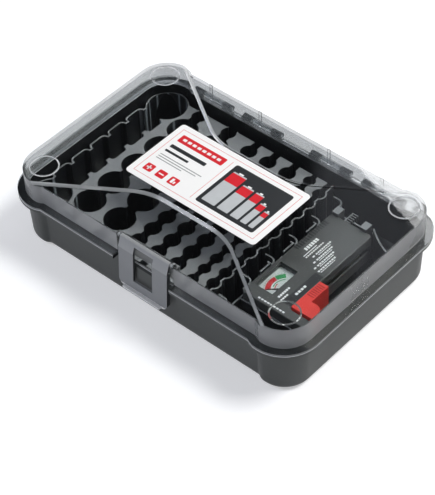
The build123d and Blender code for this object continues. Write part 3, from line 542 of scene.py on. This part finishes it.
def clear_case(name, foot, facet, top):
    """Polished clear plastic.  Its upright walls and the stacking rings are lightly etched, so that
    they show a thin grey veil; on the front and right walls it is made heavier, as a painted
    reflection, and walls seen edge on are painted dark, as painted shade.  The sloped steps between
    the two levels are pale; the edge of the rim is painted pale, as a painted highlight; and the
    end faces of ribs, ears and knuckles are painted as dark lines, as painted shade."""
    rim_edge = foot + 2.6 * mm
    knuckles_y = 86 * mm
    fittings_y, corner_x = 84 * mm, 135 * mm
    material = start(name)
    coordinates = add(material, "TexCoord")
    place = coordinates.outputs["Object"]
    x, y, z = add(material, "SeparateXYZ", {"Vector": place}).outputs
    normal = add(material, "SeparateXYZ", {"Vector": coordinates.outputs["Normal"]}).outputs

    # Masks that are 1 on upright walls, stacking rings, sloped steps, the rim's edge and cut ends;
    # then what is etched, what stays clear, and walls seen edge on.
    level = add(material, "Math", {0: normal["Z"]}, operation="ABSOLUTE").outputs[0]
    upright = add(material, "MapRange", {"Value": level, "From Min": 0.72, "From Max": 0.5}).outputs["Result"]
    ring = add(material, "Math", {0: z, 1: top + 0.1 * mm}, operation="GREATER_THAN").outputs[0]
    raised = add(material, "Math", {0: z, 1: (facet + top) / 2, 2: (top - facet) / 2.1},
                 operation="COMPARE").outputs[0]
    sloped = add(material, "Math", {0: level, 1: 0.79, 2: 0.12}, operation="COMPARE").outputs[0]
    step = add(material, "Math", {0: sloped, 1: raised}, operation="MULTIPLY").outputs[0]
    low = add(material, "Math", {0: z, 1: rim_edge}, operation="LESS_THAN").outputs[0]
    low_wall = add(material, "Math", {0: upright, 1: low}, operation="MULTIPLY").outputs[0]
    before = add(material, "Math", {0: y, 1: knuckles_y}, operation="LESS_THAN").outputs[0]
    # Painted highlight: the rim's edge on upright faces below rim_edge is painted pale and more opaque.
    rim = add(material, "Math", {0: low_wall, 1: before}, operation="MULTIPLY").outputs[0]
    sideways = add(material, "Math", {0: normal["X"]}, operation="ABSOLUTE").outputs[0]
    end_on = add(material, "Math", {0: sideways, 1: 0.93}, operation="GREATER_THAN").outputs[0]
    off_middle = add(material, "Math", {0: y}, operation="ABSOLUTE").outputs[0]
    outer = add(material, "Math", {0: off_middle, 1: fittings_y}, operation="GREATER_THAN").outputs[0]
    off_centre = add(material, "Math", {0: x}, operation="ABSOLUTE").outputs[0]
    inner = add(material, "Math", {0: off_centre, 1: corner_x}, operation="LESS_THAN").outputs[0]
    fitting = add(material, "Math", {0: outer, 1: inner}, operation="MULTIPLY").outputs[0]
    # Painted shade: end-on faces by the ears and knuckles are painted dark.
    painted_shade_faces = add(material, "Math", {0: end_on, 1: fitting}, operation="MULTIPLY").outputs[0]
    hazed = add(material, "Math", {0: upright, 1: ring}, operation="MAXIMUM").outputs[0]
    etched = add(material, "Math", {0: hazed, 1: step}, operation="MAXIMUM").outputs[0]
    clear = add(material, "Math", {0: 1.0, 1: etched}, operation="SUBTRACT").outputs[0]
    # Painted shade: walls seen edge on are painted dark, for the dark edges of the clear plastic.
    edge_on = add(material, "LayerWeight", {"Blend": 0.5}).outputs["Facing"]
    glancing = add(material, "MapRange", {"Value": edge_on, "From Min": 0.86, "From Max": 0.97})
    line = add(material, "Math", {0: glancing.outputs["Result"], 1: upright}, operation="MULTIPLY").outputs[0]

    # The share of what lies behind that each kind of face hides; a later one covers an earlier one.
    # Painted reflection: the front and right walls are made greyer and more opaque than the rest.
    front = add(material, "MapRange", {"Value": y, "From Min": -70 * mm, "From Max": -84 * mm})
    right_end = add(material, "MapRange", {"Value": x, "From Min": 130 * mm, "From Max": 140 * mm})
    near = add(material, "Math", {0: front.outputs["Result"], 1: right_end.outputs["Result"]},
               operation="MAXIMUM").outputs[0]
    haze_and_reflection = add(material, "Mix", {"Factor": near, "A": 0.36, "B": 0.58}).outputs["Result"]
    marked = add(material, "Math", {0: step, 1: painted_shade_faces}, operation="MAXIMUM").outputs[0]
    veil = 1.0
    for mask, share in ((upright, haze_and_reflection), (ring, 0.2), (marked, 0.66), (rim, 0.8), (line, 0.9)):
        veil = add(material, "Mix", {"Factor": mask, "A": veil, "B": share}).outputs["Result"]

    # Colours, in the same order.
    streaks = mottled(material, "#8E8F90", "#9C9D9E", 60 * mm, place).outputs["Result"]
    pale = add(material, "Math", {0: step, 1: ring}, operation="MAXIMUM").outputs[0]
    etching = add(material, "Mix", {"Factor": pale, "A": streaks, "B": linear("#A9ACAD")}, data_type="RGBA")
    colour = add(material, "Mix", {"Factor": etched, "A": linear("#E9ECED"), "B": etching.outputs["Result"]},
                 data_type="RGBA").outputs["Result"]
    for mask, code in ((rim, "#DADCDD"), (painted_shade_faces, "#2B2D2F"), (line, "#303234")):
        colour = add(material, "Mix", {"Factor": mask, "A": colour, "B": linear(code)},
                     data_type="RGBA").outputs["Result"]

    rough = add(material, "MapRange", {"Value": etched, "To Min": 0.02, "To Max": 0.25}).outputs["Result"]
    ripple = add(material, "TexNoise", {"Vector": place, "Scale": 1 / (25 * mm), "Detail": 1.0})
    bump = add(material, "Bump", {"Height": ripple.outputs["Fac"], "Distance": 0.004 * mm, "Strength": clear})
    glass = add(material, "BsdfPrincipled", {"Base Color": colour, "Roughness": rough, "IOR": 1.3,
                                             "Transmission Weight": clear, "Alpha": veil, "Coat Weight": 0.15,
                                             "Coat Roughness": 0.03, "Normal": bump.outputs["Normal"]})
    passing = add(material, "BsdfTransparent", {"Color": linear("#F4F6F6")})
    lamps = add(material, "LightPath").outputs["Is Shadow Ray"]
    mixed = add(material, "MixShader", {0: lamps, 1: glass.outputs["BSDF"], 2: passing.outputs["BSDF"]})
    return finish(material, mixed.outputs["Shader"])


lid_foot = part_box("lid_shell")[0].z
lid_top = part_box("label_card")[0].z
step_height = 2 * mm
lid_plastic = clear_case("polished_smoked_polystyrene", lid_foot, lid_top - step_height, lid_top)
dress("lid_shell", lid_plastic, 0.12 * mm)

# ---------------------------------------------------------------------------------------------
# Latch.  The same polystyrene moulded with etched faces, so that it is frosted: what lies
# behind it shows only as a soft tone.  Its polished finger lip at the foot is painted white, as a painted
# highlight.
# ---------------------------------------------------------------------------------------------


def frosted(name, lip, fold):
    """Etched translucent plastic: the finger lip is painted nearly white, as a painted highlight;
    the slanted head above the fold is painted paler than the plate, for the light it catches; and
    the side faces are painted dark, as painted shade."""
    material = start(name)
    coordinates = add(material, "TexCoord")
    place = coordinates.outputs["Object"]
    colour = mottled(material, "#85878A", "#929497", 15 * mm, place).outputs["Result"]
    height = add(material, "SeparateXYZ", {"Vector": place}).outputs["Z"]
    normal = add(material, "SeparateXYZ", {"Vector": coordinates.outputs["Normal"]}).outputs
    low = add(material, "Math", {0: height, 1: lip}, operation="LESS_THAN").outputs[0]
    clear = add(material, "MapRange", {"Value": low, "To Min": 0.2, "To Max": 0.4}).outputs["Result"]
    high = add(material, "Math", {0: height, 1: fold}, operation="GREATER_THAN").outputs[0]
    width = add(material, "Math", {0: normal["X"]}, operation="ABSOLUTE").outputs[0]
    painted_shade_faces = add(material, "Math", {0: width, 1: 0.9}, operation="GREATER_THAN").outputs[0]
    # Painted light: the head above the fold is painted paler, the lip white as a painted highlight, and the
    # side faces dark as painted shade.
    for mask, code in ((high, "#A4A6A8"), (painted_shade_faces, "#303234"), (low, "#FFFFFF")):
        colour = add(material, "Mix", {"Factor": mask, "A": colour, "B": linear(code)},
                     data_type="RGBA").outputs["Result"]
    bump = grain(material, 0.8 * mm, 0.01 * mm, place)
    shader = add(material, "BsdfPrincipled", {"Base Color": colour, "Roughness": 0.3, "IOR": 1.4,
                                              "Transmission Weight": clear, "Normal": bump.outputs["Normal"]})
    return finish(material, shader.outputs["BSDF"])


latch_low, latch_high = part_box("front_latch")
lip_height, head_height = 2.1 * mm, 10 * mm
latch_plastic = frosted("etched_clear_polystyrene", latch_low.z + lip_height, latch_high.z - head_height)
dress("front_latch", latch_plastic, 0.4 * mm)

# ---------------------------------------------------------------------------------------------
# Label.  Coated white card, stuck on the raised middle of the lid and printed in red, charcoal
# and greys.  The print is a plain pattern: a ruled border, a banner with bars under it, three
# small signs, and a dark panel with a row of cells seen from the side.
# ---------------------------------------------------------------------------------------------
label_stock = moulded("gloss_coated_white_card", "#FCFCFC", "#FFFFFF", 0.3, size=0.6 * mm, depth=0.003 * mm)
dress("label_card", label_stock)
label_low, label_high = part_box("label_card")
label_face = label_high.z


def printed(name, outlines, material, layer=1):
    """Ink film on the label; a later layer lies over an earlier one."""
    return plates(name, outlines, label_face - ink_sunk, label_face + print_film * layer, material, "lid")


def on_label(x0, x1, y0, y1, radius=0.0):
    """Rectangle on the label, in millimetres from its front left corner."""
    return oblong(label_low.x + x0 * mm, label_low.x + x1 * mm, label_low.y + y0 * mm, label_low.y + y1 * mm,
                  radius * mm)


label_red = ink("offset_red_ink", "#DB1F2C", 0.35)
label_charcoal = ink("offset_charcoal_ink", "#26292C", 0.35)
label_grey = ink("offset_grey_ink", "#8E9294", 0.35)
label_silver = ink("offset_silver_ink", "#C3C7CA", 0.35)
label_white = ink("offset_white_ink", "#FAFAFA", 0.35)
label_length = (label_high.x - label_low.x) / mm
label_depth = (label_high.y - label_low.y) / mm
margin, rule = 5, 0.3
border_right, border_back = label_length - margin, label_depth - margin
border = [on_label(margin, border_right, margin, margin + rule),
          on_label(margin, border_right, border_back - rule, border_back),
          on_label(margin, margin + rule, margin + rule, border_back - rule),
          on_label(border_right - rule, border_right, margin + rule, border_back - rule),
          on_label(62, 62 + rule, 9, 61.4)]
printed("label_border", border, label_red)
text_left = 9.5
printed("label_banner", [on_label(text_left, 57, 51.5, 60.5, 1)], label_red)
bar_left, bar_pitch, bar_length = 13, 5.2, 3.6
bars = [on_label(bar_left + bar_pitch * i, bar_left + bar_length + bar_pitch * i, 54.6, 57.4, 0.5)
        for i in range(8)]
printed("label_banner_marks", bars, label_white, 2)
headings = [on_label(text_left, 47, 42.6, 46.4, 0.8), on_label(text_left, 34, 36.8, 39.2, 0.6)]
printed("label_headings", headings, label_charcoal)
text_foot, text_pitch, text_height = 31.8, 2.6, 0.8
text_rules = [on_label(text_left, text_left + length, text_foot - text_pitch * i,
                       text_foot + text_height - text_pitch * i)
              for i, length in enumerate((44, 40, 27))]
printed("label_rules", text_rules, label_grey)
sign_pitch, sign_size, sign_foot = 13, 8.5, 10
sign_fields = [on_label(text_left + sign_pitch * i, text_left + sign_size + sign_pitch * i, sign_foot,
                        sign_foot + sign_size, 1.2)
               for i in range(3)]
printed("label_signs", sign_fields, label_red)
half_bar, half_stroke = 2.55, 0.65
plus_x, sign_y = text_left + sign_size / 2, sign_foot + sign_size / 2
minus_x = plus_x + sign_pitch
signs = [on_label(plus_x - half_bar, plus_x + half_bar, sign_y - half_stroke, sign_y + half_stroke),
         on_label(plus_x - half_stroke, plus_x + half_stroke, sign_y - half_bar, sign_y + half_bar),
         on_label(minus_x - half_bar, minus_x + half_bar, sign_y - half_stroke, sign_y + half_stroke),
         on_label(37.6, 40.0, 11.7, 16.8, 0.5), on_label(40.6, 42.2, 11.7, 14.6, 0.4)]
printed("label_sign_marks", signs, label_white, 2)
printed("label_panel", [on_label(66.5, 126, 9.5, 61, 2.2)], label_charcoal)
cell_foot, tip_height, band_start = 13.5, 1.5, 0.68
bodies, caps, nubs = [], [], []
for x, width, height in ((70, 13.5, 40), (86, 11, 33), (99.5, 8.2, 33), (110, 6, 26), (118.2, 4.8, 21)):
    cell_head = cell_foot + height
    bodies.append(on_label(x, x + width, cell_foot, cell_head, 0.8))
    caps.append(on_label(x, x + width, cell_foot + height * band_start, cell_head - tip_height))
    nubs.append(on_label(x + width * 0.33, x + width * 0.67, cell_head, cell_head + tip_height))
printed("label_cells", bodies, label_silver, 2)
printed("label_cell_bands", caps, label_red, 3)
printed("label_cell_tips", nubs, label_white, 2)

# ---------------------------------------------------------------------------------------------
# Light tent: a wide white floor, a room that is pale low down and darker overhead, and four
# soft lamps, so that walls, lid and tester take the light from behind as in the photograph.
# ---------------------------------------------------------------------------------------------


def seen(material):
    """1 for rays by which the background is seen: straight, in gloss and through clear plastic."""
    paths = add(material, "LightPath")
    both = add(material, "Math", {0: paths.outputs["Is Camera Ray"], 1: paths.outputs["Is Glossy Ray"]},
               operation="MAXIMUM").outputs[0]
    return add(material, "Math", {0: both, 1: paths.outputs["Is Transmission Ray"]},
               operation="MAXIMUM").outputs[0]


def floor_finish(name):
    """White sweep; where it is seen it is brighter than it lights the object."""
    material = start(name)
    matt = add(material, "BsdfDiffuse", {"Color": linear("#E4E5E9")})
    glow = add(material, "Emission", {"Color": linear("#FFFFFF"), "Strength": 0.41})
    both = add(material, "AddShader", {0: matt.outputs["BSDF"], 1: glow.outputs["Emission"]})
    mixed = add(material, "MixShader", {0: seen(material), 1: matt.outputs["BSDF"],
                                        2: both.outputs["Shader"]})
    return finish(material, mixed.outputs["Shader"])


reach = 4.0
floor_mesh = bpy.data.meshes.new("floor")
floor_mesh.from_pydata([(-reach, -reach, 0), (reach, -reach, 0), (reach, reach, 0), (-reach, reach, 0)], [],
                       [(0, 1, 2, 3)])
floor_mesh.materials.append(floor_finish("white_sweep"))
floor = bpy.data.objects.new("floor", floor_mesh)
bpy.context.scene.collection.objects.link(floor)

# The room is pale low down and dark overhead, with one soft window, as the lid mirrors it;
# straight on it is white.
room = bpy.data.worlds.new("room")
bpy.context.scene.world = room
room.use_nodes = True
room.node_tree.nodes.clear()
way = add(room, "TexCoord").outputs["Generated"]
rise = add(room, "SeparateXYZ", {"Vector": way}).outputs["Z"]
shade = add(room, "MapRange", {"Value": rise, "From Min": 0.1, "From Max": 0.6, "To Min": 0.95,
                               "To Max": 0.05}, interpolation_type="SMOOTHSTEP")
window_way = (-0.419, 0.588, 0.693)
window_edge, window_core = math.radians(2.2), math.radians(0.6)
near_window = add(room, "VectorMath", {0: way, 1: window_way}, operation="DOT_PRODUCT")
window = add(room, "MapRange", {"Value": near_window.outputs["Value"], "From Min": math.cos(window_edge),
                                "From Max": math.cos(window_core), "To Max": 0.5},
             interpolation_type="SMOOTHSTEP")
whole = add(room, "Math", {0: shade.outputs["Result"], 1: window.outputs["Result"]}, operation="ADD")
direct = add(room, "LightPath").outputs["Is Camera Ray"]
strength = add(room, "Mix", {"Factor": direct, "A": whole.outputs[0], "B": 1.0}).outputs["Result"]
backdrop = add(room, "Background", {"Color": linear("#F0F4FF"), "Strength": strength})
add(room, "OutputWorld", {"Surface": backdrop.outputs["Background"]})


def lamp(name, place, aim, width, power, code, tilt=0.0):
    """A soft box, aimed at a point and turned about its own axis."""
    data = bpy.data.lights.new(name, "AREA")
    data.shape = "RECTANGLE"
    data.size, data.size_y = width
    data.energy = power
    data.color = linear(code)[:3]
    made = bpy.data.objects.new(name, data)
    made.location = place
    facing = (Vector(aim) - Vector(place)).to_track_quat("-Z", "Y")
    made.rotation_euler = (facing @ Quaternion((0, 0, 1), math.radians(tilt))).to_euler()
    bpy.context.scene.collection.objects.link(made)
    return made


lamp("key", (1.02, 1.04, 2.05), (0, 0, 0), (1.1, 0.9), 49.0, "#FFFDF8")
lamp("fill", (-1.16, -1.23, 1.7), (0, 0, 0.03), (0.5, 0.3), 12.0, "#F0F4FF")
lamp("side", (1.8, -0.6, 0.8), (0, 0, 0.03), (0.9, 0.9), 1.5, "#FFFFFF")
lamp("strip", (-0.218, 0.685, 0.746), (0.12, 0.075, 0.07), (0.35, 0.12), 0.8, "#FFFFFF", tilt=-41)

# The photograph's standpoint: turned and raised by these angles, and rolled slightly.
turn, lift, roll = (math.radians(a) for a in (43.47, 45.26, -2.91))
distance = 1520.5 * mm
aside, upward = -5.31 * mm, 1.38 * mm
back = Vector((math.sin(turn) * math.cos(lift), -math.cos(turn) * math.cos(lift), math.sin(lift)))
right = Vector((math.cos(turn), math.sin(turn), 0))
up = back.cross(right)
camera = bpy.data.objects.new("camera", bpy.data.cameras.new("camera"))
camera.data.sensor_width = 36.0
camera.data.lens = 135.4
camera.data.clip_end = 20.0
place = back * distance + right * aside + up * upward
right_rolled = math.cos(roll) * right + math.sin(roll) * up
up_rolled = math.cos(roll) * up - math.sin(roll) * right
camera.matrix_world = Matrix((
    (right_rolled.x, up_rolled.x, back.x, place.x),
    (right_rolled.y, up_rolled.y, back.y, place.y),
    (right_rolled.z, up_rolled.z, back.z, place.z),
    (0, 0, 0, 1)))
bpy.context.scene.collection.objects.link(camera)
bpy.context.scene.camera = camera
bpy.context.scene.view_settings.view_transform = "Standard"
